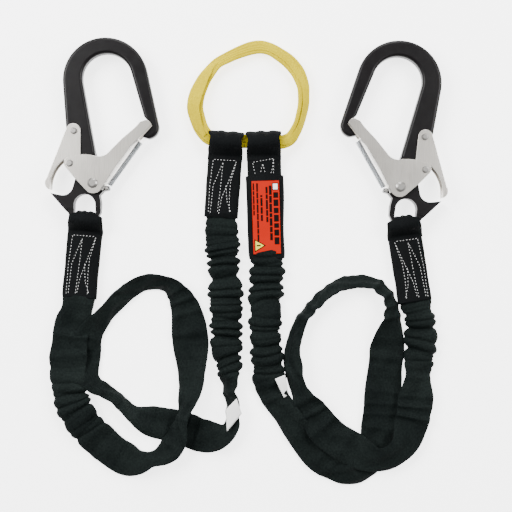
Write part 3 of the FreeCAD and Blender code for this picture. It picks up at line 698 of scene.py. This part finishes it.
# %% [markdown]
# Sewn ends. A wrap goes up the front of its bar, over it and down the back; at a hook it narrows where it
# passes over the bar, and in the middle it stays wide. Below the wrap the plies close into a pack, and the
# pack carries a wear pad at the hooks.

# %% Sewn ends
PLY = 0.0016
WRAP_HALF_WIDTH = 0.0205
WRAP_HALF_THICK = 0.0014
WRAP_SPREAD = 0.0020
PACK_HALF_WIDTH = 0.0226
HOOK_PACK_TOP = 0.0112
MIDDLE_PACK_TOP = 0.0115
SLEEVE_FLOOR = 0.0015


def eye_line(hollow, pack_top, drop, count=120):
    """The middle line of the webbing round a bar: (y, z) from the front of the pack to its back."""
    around = [
        (hollow * math.cos(a), HOOK_LEVEL + hollow * math.sin(a))
        for a in np.radians(np.linspace(118, -118, 15))
    ]
    front = [(-drop, pack_top), (-drop * 0.72, pack_top + 0.0004)]
    points = [*front, *around, (-drop * 0.72, 0.0022), (-drop, 0.0018)]
    return spline_points(points, count)


def sewn_end(name, place, hollow, reach, pack_top, length, pass_width, seed, floor=0.0):
    """A wrap that comes down to its pack within a reach below the bar, and the pack."""
    drop = hollow + reach
    section = eye_line(hollow, pack_top - PLY, drop)
    line = np.stack([0 * section[:, 0], section[:, 0], section[:, 1] + floor], axis=1)
    side, up = straight_frames(line)
    over = np.clip((section[:, 0] - 0.0040) / 0.0045, 0, 1)
    over = over * over * (3 - 2 * over)
    spread = np.clip(-section[:, 0] / 0.012, 0, 1)
    half_width = (WRAP_HALF_WIDTH + WRAP_SPREAD * spread) * (1 - over) + pass_width / 2 * over
    half_width = smooth(half_width, 2)
    ripple = wobble(np.arange(len(line)) / 9.0, seed) * 0.0004

    def crinkled(along, across):
        return 0.0007 * np.sin(across * 9 + seed) * over[:, None] * (1 - across**2)

    wrap = band(f"{name}_{place}_wrap", line, side, up, half_width + ripple,
                np.full(len(line), WRAP_HALF_THICK), crinkled, edge=5, material=pack_cloth)
    count = 110
    y = np.linspace(-drop + 0.006, -length, count)
    line = np.stack([0 * y, y, np.full(count, pack_top / 2 + floor)], axis=1)
    side, up = straight_frames(line)
    share = np.linspace(0, 1, count)
    half_width = PACK_HALF_WIDTH + 0.0006 * wobble(share * 5, seed + 2)
    close = np.clip(share / 0.08, 0, 1)
    half_thick = (pack_top / 2) * (0.80 + 0.20 * close)
    half_thick = half_thick * (1 - 0.35 * np.clip((share - 0.93) / 0.07, 0, 1))

    def pressed(along, across):
        waves = wobble(along[:, 0] / 0.018, seed + 4)[:, None] * 0.0005
        return waves * (1 - across**2) - 0.0004 * across**4

    pack = band(f"{name}_{place}_pack", line, side, up, half_width, half_thick, pressed, edge=6,
                material=pack_cloth)
    frame_matrix = end_frame(name, place)
    for piece in (wrap, pack):
        settle(piece, frame_matrix)
        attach(piece, "legs")
        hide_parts(f"{name}_{place}_eye")


HOOK_END = {"hollow": 0.0098, "reach": 0.0105, "pack_top": HOOK_PACK_TOP, "length": 0.1032,
            "pass_width": 0.0235}
MIDDLE_END = {"hollow": 0.0121, "reach": 0.0130, "pack_top": MIDDLE_PACK_TOP, "length": 0.0992,
              "pass_width": 0.0465}
for name, seed, floor_height in (("left", 3, 0.0), ("right", 8, SLEEVE_FLOOR)):
    sewn_end(name, "hook", seed=seed, **HOOK_END)
    sewn_end(name, "middle", seed=seed + 20, floor=floor_height, **MIDDLE_END)


# %% Wear pads
PAD_START, PAD_END = -0.0185, -0.1022
PAD_RISE = 0.0007
PAD_HALF_WIDTH = 0.0216
PAD_HALF_THICK = 0.0011


def wear_pad(name, seed):
    """The extra ply over a hook's sewn end, a little narrower at both of its ends."""
    count = 70
    y = np.linspace(PAD_START, PAD_END, count)
    share = np.linspace(0, 1, count)
    height = HOOK_PACK_TOP + PAD_RISE + 0.0003 * np.sin(share * 9 + seed)
    line = np.stack([-0.0006 + 0 * y, y, height], axis=1)
    side, up = straight_frames(line)
    ends = 1 - 0.06 * np.clip(1 - share / 0.04, 0, 1) ** 2 - 0.05 * np.clip((share - 0.97) / 0.03, 0, 1) ** 2
    half_width = (PAD_HALF_WIDTH + 0.0005 * wobble(share * 6, seed)) * ends
    pad = band(f"{name}_wear_pad_cloth", line, side, up, half_width, np.full(count, PAD_HALF_THICK), edge=7,
               material=pack_cloth)
    settle(pad, end_frame(name, "hook"))
    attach(pad, "legs")
    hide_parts(f"{name}_wear_pad")


wear_pad("left", 5)
wear_pad("right", 6)

# %% [markdown]
# Stitching. Each stitch is a short bead of thread at the cloth's surface. One is modelled, a six-sided
# cylinder with bevelled rims, and a seam is copies of it laid along its lines and joined, so that hundreds
# of stitches stay light.

# %% Model one stitch
STITCH = 0.0019
STITCH_PITCH = 0.0041
THREAD = 0.00026
STITCH_DRIFT = 0.0005


def pick(obj):
    """Makes an object the only selected one, and the active one."""
    bpy.ops.object.select_all(action="DESELECT")
    obj.select_set(True)
    bpy.context.view_layer.objects.active = obj


def finish_modifier(obj, kind, **settings):
    """Adds a modifier with its settings and applies it."""
    modifier = obj.modifiers.new(kind.lower(), kind)
    for key, value in settings.items():
        setattr(modifier, key, value)
    pick(obj)
    bpy.ops.object.modifier_apply(modifier=modifier.name)


def apply_place(obj):
    """Puts an object's place, turn and size into its mesh."""
    pick(obj)
    bpy.ops.object.transform_apply(location=True, rotation=True, scale=True)


def face_outwards(holes=0):
    """Turns the active object's faces outwards, after its holes of up to that many sides are closed."""
    bpy.ops.object.mode_set(mode="EDIT")
    bpy.ops.mesh.select_all(action="SELECT")
    if holes:
        bpy.ops.mesh.fill_holes(sides=holes)
        bpy.ops.mesh.select_all(action="SELECT")
    bpy.ops.mesh.normals_make_consistent(inside=False)
    bpy.ops.object.mode_set(mode="OBJECT")


bpy.ops.object.select_all(action="DESELECT")
bpy.ops.mesh.primitive_cylinder_add(vertices=6, radius=THREAD, depth=STITCH, rotation=(0, math.pi / 2, 0))
stitch = bpy.context.object
stitch.name = "stitch"
apply_place(stitch)
finish_modifier(stitch, "BEVEL", width=THREAD * 0.55, segments=1, limit_method="ANGLE",
                angle_limit=math.radians(70))
stitch.data.shade_smooth()
stitch.data.materials.append(white_thread)
stitch_mesh = stitch.data
bpy.data.objects.remove(stitch)
print("one stitch has", len(stitch_mesh.polygons), "faces")


# %% Seams
def seam(name, lines, height, matrix, body, seed=1):
    """Rows of stitches along lines of (x, y) in a flat frame, at a height."""
    beads = []
    for row, corners in enumerate(lines):
        corners = np.array(corners, dtype=float)
        at = arc_lengths(corners)
        for n, middle in enumerate(np.arange(STITCH_PITCH * 0.5, at[-1] - STITCH * 0.5, STITCH_PITCH)):
            drift = noise.noise(Vector((n * 0.9, row * 3.1, seed))) * STITCH_DRIFT
            here, there = (Vector((np.interp(v, at, corners[:, 0]), np.interp(v, at, corners[:, 1]), height))
                           for v in (middle + drift, middle + drift + THREAD))
            ahead = there - here if (there - here).length else Vector((1, 0, 0))
            bead = bpy.data.objects.new(name, stitch_mesh.copy())
            bead.matrix_world = Matrix.Translation(here) @ ahead.to_track_quat("X", "Z").to_matrix().to_4x4()
            bpy.context.collection.objects.link(bead)
            beads.append(bead)
    bpy.ops.object.select_all(action="DESELECT")
    for bead in beads:
        bead.select_set(True)
    bpy.context.view_layer.objects.active = beads[0]
    bpy.context.view_layer.update()
    bpy.ops.object.join()
    joined = bpy.context.object
    joined.name = name
    apply_place(joined)
    settle(joined, matrix)
    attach(joined, body)
    print(name, len(beads), "stitches")


def stitch_box(top, foot, lean=0.0):
    """The boxed W of a sewn end: its top, its two sides and the zigzags between them."""
    span = top - foot
    middle = top - 0.48 * span
    return [
        [(-0.0150, top), (0.0155, top + 0.0005)],
        [(-0.0150, top), (-0.0172 + lean, middle), (-0.0168 + lean, foot)],
        [(-0.0142 + lean, foot), (-0.0128, middle), (-0.0020, top - 0.003)],
        [(-0.0020, top - 0.003), (-0.0030, middle), (-0.0050 + lean, foot)],
        [(0.0155, top), (0.0060, middle + 0.004), (-0.0006, foot + 0.022), (-0.0032 + lean, foot)],
        [(0.0150, top - 0.003), (0.0098, middle + 0.008), (0.0092, middle - 0.014), (0.0112 + lean, foot)],
        [(0.0036, middle + 0.002), (0.0066, foot + 0.018), (0.0132 + lean, foot + 0.001)],
    ]


PAD_TOP = HOOK_PACK_TOP + 0.0020
THREAD_RISE = 0.0003
HOOK_BOX = stitch_box(-0.0215, -0.0985)
MIDDLE_BOX = stitch_box(-0.0245, -0.0950)
# The part of the right middle end's box that the label sleeve leaves in sight
SHOWN_LINES = [
    [(-0.0150, -0.0270), (0.0125, -0.0225)],
    [(-0.0150, -0.0270), (-0.0120, -0.0430)],
    [(-0.0020, -0.0290), (-0.0055, -0.0430)],
    [(-0.0020, -0.0290), (0.0015, -0.0430)],
    [(0.0125, -0.0225), (0.0105, -0.0360), (0.0080, -0.0430)],
    [(0.0125, -0.0225), (0.0118, -0.0430)],
]
seam("left_hook_stitches", HOOK_BOX, PAD_TOP, end_frame("left", "hook"), "legs")
seam("right_hook_stitches", [[(-x, y) for x, y in line] for line in HOOK_BOX], PAD_TOP,
     end_frame("right", "hook"), "legs", seed=2)
seam("left_middle_stitches", MIDDLE_BOX, MIDDLE_PACK_TOP + THREAD_RISE, end_frame("left", "middle"), "legs",
     seed=3)
seam("right_middle_stitches", SHOWN_LINES, MIDDLE_PACK_TOP + SLEEVE_FLOOR + THREAD_RISE,
     end_frame("right", "middle"), "legs", seed=4)

# %% [markdown]
# The label. A black sleeve goes round the right middle end, with a printed orange label sewn on it. The
# print is shown as plain bars of different lengths, a square and a warning triangle: its layout, and no
# words.

# %% Label sleeve
SLEEVE_TOP = 0.0149
SLEEVE_START = -0.0445
SLEEVE_LENGTH = 0.1085
SLEEVE_HALF_WIDTH = 0.0249


def build_sleeve(count=90):
    """The flat tube round the sewn end, a little narrower at its foot."""
    share = np.linspace(0, 1, count)
    y = SLEEVE_START - SLEEVE_LENGTH * share
    line = np.stack([0.0004 * np.sin(share * 7), y, np.full(count, SLEEVE_TOP / 2)], axis=1)
    side, up = straight_frames(line)
    half_width = SLEEVE_HALF_WIDTH + 0.0005 * np.sin(share * 5 + 1)
    half_width = half_width - 0.0012 * np.clip((share - 0.9) / 0.1, 0, 1) ** 2

    def sagging(along, across):
        return 0.0005 * wobble(along[:, 0] / 0.02, 41)[:, None] * (1 - across**2) - 0.0006 * across**4

    return band("label_cover", line, side, up, half_width, np.full(count, SLEEVE_TOP / 2 - 0.0001), sagging,
                edge=5, material=pack_cloth)


sleeve = build_sleeve()
settle(sleeve, end_frame("right", "middle"))
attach(sleeve, "legs")
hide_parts("label_sleeve")

# %% Printed label
LABEL_TOP = SLEEVE_TOP + 0.0011


def plate(name, box, low, high, material, round_off=0.00004):
    """A thin plate on the label: a cube at its size and place, with its edges bevelled."""
    left, bottom, right, top = box
    bpy.ops.object.select_all(action="DESELECT")
    middle = ((left + right) / 2, (bottom + top) / 2, (low + high) / 2)
    bpy.ops.mesh.primitive_cube_add(size=1, location=middle)
    obj = bpy.context.object
    obj.scale = (right - left, top - bottom, high - low)
    return finish_plate(obj, name, material, round_off)


def triangle(name, middle, radius, low, high, material, round_off=0.00004):
    """A thin triangle that points across the label: a three-sided cylinder with its edges bevelled."""
    bpy.ops.object.select_all(action="DESELECT")
    bpy.ops.mesh.primitive_cylinder_add(vertices=3, radius=radius, depth=high - low,
                                        location=(*middle, (low + high) / 2), rotation=(0, 0, -math.pi / 2))
    return finish_plate(bpy.context.object, name, material, round_off)


def finish_plate(obj, name, material, round_off):
    """Bevels a plate's edges, gives it its material and puts it on the label."""
    obj.name = name
    apply_place(obj)
    finish_modifier(obj, "BEVEL", width=round_off, segments=2)
    obj.data.materials.append(material)
    settle(obj, end_frame("right", "middle"))
    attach(obj, "legs")
    return obj


LABEL = (-0.0172, -0.1465, 0.0186, -0.0515)
label = plate("orange_label", LABEL, SLEEVE_TOP - 0.0002, LABEL_TOP, label_orange, 0.0002)
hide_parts("printed_label")

INK_LOW, INK_HIGH = LABEL_TOP - 0.0001, LABEL_TOP + 0.00012
# Each row of print: its left side, its width, where it starts, the gap between its bars and their lengths
PRINT_ROWS = [
    (0.0108, 0.0062, -0.0668, 0.0022, (0.0072, 0.0085, 0.0070, 0.0088, 0.0060, 0.0078, 0.0092)),
    (0.0052, 0.0034, -0.0580, 0.0013, (0.0120, 0.0090, 0.0110, 0.0052, 0.0098, 0.0070, 0.0092)),
    (0.0008, 0.0026, -0.0595, 0.0012, (0.0085, 0.0060, 0.0120, 0.0075, 0.0070)),
    (-0.0062, 0.0026, -0.0700, 0.0014, (0.0024, 0.0105, 0.0085, 0.0080)),
    (-0.0112, 0.0022, -0.0545, 0.0010, (0.0110, 0.0075, 0.0060, 0.0110, 0.0080, 0.0098, 0.0062, 0.0090)),
    (-0.0158, 0.0018, -0.0545, 0.0010, (0.0090, 0.0055, 0.0100, 0.0070, 0.0060)),
]
for row, (left, width, start, gap, lengths) in enumerate(PRINT_ROWS):
    top = start
    for n, length in enumerate(lengths):
        plate(f"label_bar_{row}_{n}", (left, top - length, left + width, top), INK_LOW, INK_HIGH, label_ink)
        top -= length + gap
FACE_HIGH = INK_HIGH + 0.0001
plate("label_mark", (0.0095, -0.0640, 0.0175, -0.0545), INK_LOW, INK_HIGH, label_ink)
plate("label_mark_face", (0.0106, -0.0629, 0.0164, -0.0556), INK_HIGH - 0.0001, FACE_HIGH, label_white)
WARNING = (-0.0105, -0.1355)
triangle("label_warning", WARNING, 0.0097, INK_LOW, INK_HIGH, label_ink)
triangle("label_warning_face", WARNING, 0.0074, INK_HIGH - 0.0001, FACE_HIGH, label_yellow)
plate("label_warning_bar", (-0.0128, -0.1364, -0.0074, -0.1346), FACE_HIGH - 0.0001, FACE_HIGH + 0.0001,
      label_ink)


# %% Tags
RIBBON = 0.0005


def tag(name, corners, height, seed):
    """A small sewn-in tag: a grid drawn out to four corners, curled, and given the ribbon's thickness."""
    a, b, c, d = (np.array(p) for p in corners)
    bpy.ops.object.select_all(action="DESELECT")
    bpy.ops.mesh.primitive_grid_add(x_subdivisions=9, y_subdivisions=13, size=1)
    obj = bpy.context.object
    obj.name = f"{name}_tag_ribbon"
    for vertex in obj.data.vertices:
        v, u = vertex.co.x + 0.5, 0.5 - vertex.co.y
        flat = (a * (1 - v) + b * v) * (1 - u) + (d * (1 - v) + c * v) * u
        lift = height + 0.0015 * math.sin(u * 2.6 + seed) + 0.0008 * math.sin(v * 3.1 + seed)
        vertex.co = (*flat, lift)
    finish_modifier(obj, "SOLIDIFY", thickness=RIBBON, offset=0)
    obj.data.shade_smooth()
    obj.data.materials.append(tag_cloth)
    face_outwards()
    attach(obj, "legs")
    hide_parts(f"{name}_tag")
    return obj


LEFT_CORNERS = [(-0.0112, -0.2968), (-0.0045, -0.3163), (-0.0238, -0.3397), (-0.0252, -0.3111)]
RIGHT_CORNERS = [(0.0386, -0.2721), (0.0516, -0.2669), (0.0568, -0.2929), (0.0503, -0.2968)]
left_tag = tag("left", LEFT_CORNERS, 0.0185, 0.3)
right_tag = tag("right", RIGHT_CORNERS, 0.0125, 1.2)

# %% [markdown]
# The tether loop. Its webbing goes round twice: one ply lies over the whole loop, and shorter plies show
# beside it where the turns fan apart on the left and where the ends are spliced on the right.

# %% Tether loop
# Each point, clockwise from inside the eyes: x, y, its middle's height, its width and its roll in degrees
TETHER = [
    (-0.030, 0.0370, 0.0150, 0.018, 0), (-0.048, 0.0400, 0.0150, 0.018, 10),
    (-0.0590, 0.0550, 0.0140, 0.020, 15), (-0.0665, 0.0800, 0.0120, 0.022, 10),
    (-0.0635, 0.0980, 0.0110, 0.021, 0), (-0.0540, 0.1190, 0.0105, 0.018, 0),
    (-0.0375, 0.1395, 0.0105, 0.0145, 15), (-0.0130, 0.1520, 0.0105, 0.016, 10),
    (0.0060, 0.1590, 0.0105, 0.0175, 0), (0.0200, 0.1612, 0.0105, 0.0175, 0),
    (0.0350, 0.1570, 0.0105, 0.0165, 5), (0.0560, 0.1430, 0.0105, 0.0185, 0),
    (0.0690, 0.1270, 0.0110, 0.0185, 0), (0.0765, 0.1080, 0.0115, 0.0165, 10),
    (0.0755, 0.0850, 0.0120, 0.015, 25), (0.0690, 0.0590, 0.0135, 0.014, 35),
    (0.0600, 0.0400, 0.0150, 0.017, 10), (0.0470, 0.0350, 0.0150, 0.018, 0),
    (0.025, 0.0365, 0.0150, 0.018, 0), (0.0, 0.0372, 0.0150, 0.018, 0),
]


def closed_spline(points, count):
    """A smooth closed line through a few points, with their other numbers."""
    points = np.array(points, dtype=float)
    loop = np.vstack([points, points[:1]])
    at = arc_lengths(loop[:, :2])
    fine = np.linspace(0, at[-1], count, endpoint=False)
    out = np.stack([np.interp(fine, at, loop[:, k]) for k in range(loop.shape[1])], axis=1)
    return np.stack([smooth(out[:, k], count // 34, "wrap") for k in range(out.shape[1])], axis=1)


def loop_frames(line, roll):
    """Side, towards the loop's inside, and up vectors of a closed line, rolled."""
    ahead = unit(np.roll(line, -1, axis=0) - np.roll(line, 1, axis=0))
    side = unit(np.stack([ahead[:, 1], -ahead[:, 0], 0 * ahead[:, 0]], axis=1))
    up = unit(np.cross(side, ahead))
    return rolled(side, up, np.radians(roll)[:, None])


LOOP_POINTS = 620
LOOP_HALF_THICK = 0.0024
loop = closed_spline(TETHER, LOOP_POINTS)
loop_line, loop_width, loop_roll = loop[:, :3], loop[:, 3], loop[:, 4]
loop_side, loop_up = loop_frames(loop_line, loop_roll)
PLY_EDGES = (-0.62, -0.22, 0.20, 0.58)


def ply_edges(along, across):
    """Grooves where one turn of the webbing lies beside the next, wandering and fading along the loop."""
    column = along[:, 0]
    depth = 0
    for k, edge in enumerate(PLY_EDGES):
        place = edge + 0.10 * wobble(column / 0.05, 60 + k)[:, None]
        strength = np.clip(0.7 + 1.1 * wobble(column / 0.07, 70 + k), 0.15, 1)[:, None]
        depth = depth + strength * np.exp(-(((across - place) / 0.07) ** 2))
    return 0.0005 * wobble(column / 0.03, 51)[:, None] * across - 0.0011 * depth


tether = band("tether_webbing", loop_line, loop_side, loop_up, loop_width / 2,
              np.full(len(loop), LOOP_HALF_THICK), ply_edges, edge=4, around=120, material=yellow_cloth,
              closed=True)
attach(tether, "tether")
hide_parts("tether_loop")


PLY_HALF_THICK = 0.0010
PLY_LIFT = 0.0021
PLY_ROLL = 22


def fanned_ply(name, start, end, offset, width, lift):
    """A second turn of the tether: it leaves the first ply between two shares of the loop and comes back."""
    first, last = int(start * len(loop)), int(end * len(loop))
    swell = np.sin(np.pi * np.linspace(0, 1, last - first)) ** 0.7
    side, up = loop_side[first:last], loop_up[first:last]
    line = loop_line[first:last] + side * (offset * swell)[:, None]
    line = line + up * (PLY_LIFT + lift * swell)[:, None]
    half_width = np.minimum(width * (0.65 + 0.35 * swell), loop_width[first:last]) / 2
    side, up = rolled(side, up, np.radians(PLY_ROLL) * swell[:, None])
    ply = band(name, line, side, up, half_width, np.full(len(line), PLY_HALF_THICK), edge=4, around=24,
               material=yellow_cloth)
    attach(ply, "tether")


# Each ply: where it starts and ends round the loop, its offset inwards, its width and its lift
PLIES = {
    "tether_ply_outer": (0.055, 0.30, -0.0056, 0.0085, 0.0012),
    "tether_ply_middle": (0.060, 0.29, -0.0008, 0.0075, 0.0030),
    "tether_ply_inner": (0.065, 0.28, 0.0044, 0.0075, 0.0048),
    "tether_splice": (0.60, 0.83, -0.0030, 0.0120, 0.0010),
}
for name, ply_values in PLIES.items():
    fanned_ply(name, *ply_values)

# %% [markdown]
# Springs. Each gate has an outside spring along its edge, hooked on a pin at the body's foot; its coils lie
# close. Each lever has a short one behind it. A ring of wire is swept round and along its axis by a Screw
# modifier, which is how a coil is wound, and its two ends are closed.

# %% Springs
WIRE = 0.00052
WIRE_SIDES = 8
STEPS_PER_TURN = 20


def coil(name, foot, head, radius, turns, matrix):
    """A coil of wire from its foot to its head, in a hook's frame."""
    start, span = Vector(foot), Vector(head) - Vector(foot)
    bpy.ops.object.select_all(action="DESELECT")
    bpy.ops.mesh.primitive_circle_add(vertices=WIRE_SIDES, radius=WIRE, location=(radius, 0, 0),
                                      rotation=(math.pi / 2, 0, 0))
    obj = bpy.context.object
    obj.name = name
    apply_place(obj)
    steps = int(STEPS_PER_TURN * turns)
    finish_modifier(obj, "SCREW", angle=2 * math.pi * turns, screw_offset=span.length, steps=steps,
                    render_steps=steps)
    face_outwards(holes=WIRE_SIDES)
    obj.data.shade_smooth()
    obj.data.materials.append(spring_wire)
    turn = span.to_track_quat("Z", "Y").to_matrix().to_4x4()
    settle(obj, matrix @ Matrix.Translation(start) @ turn)
    print(name, len(obj.data.polygons), "faces")
    return obj


# Each spring: its foot, its head, its radius and its turns
SPRINGS = {
    "gate": ((0.0204, -0.0022, 0), (0.0605, 0.0535, 0), 0.0030, 52),
    "lever": ((-0.0300, 0.0498, 0), (-0.0387, 0.0523, 0), 0.0034, 4.5),
}
# The open ring of wire at the foot of each gate spring, with the same values
HOOP = ((0.0180, -0.0060, -0.0004), (0.0180, -0.0060, 0.0004), 0.0026, 0.95)
for name in ("left", "right"):
    matrix = hook_frame(name)
    for part, (foot, head, radius, turns) in SPRINGS.items():
        spring = coil(f"{name}_{part}_coil", foot, head, radius, turns, matrix)
        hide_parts(f"{name}_{part}_spring")
        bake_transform(spring)
    hoop = coil(f"{name}_spring_hoop", *HOOP, matrix)
    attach(hoop, f"{name}_hook")
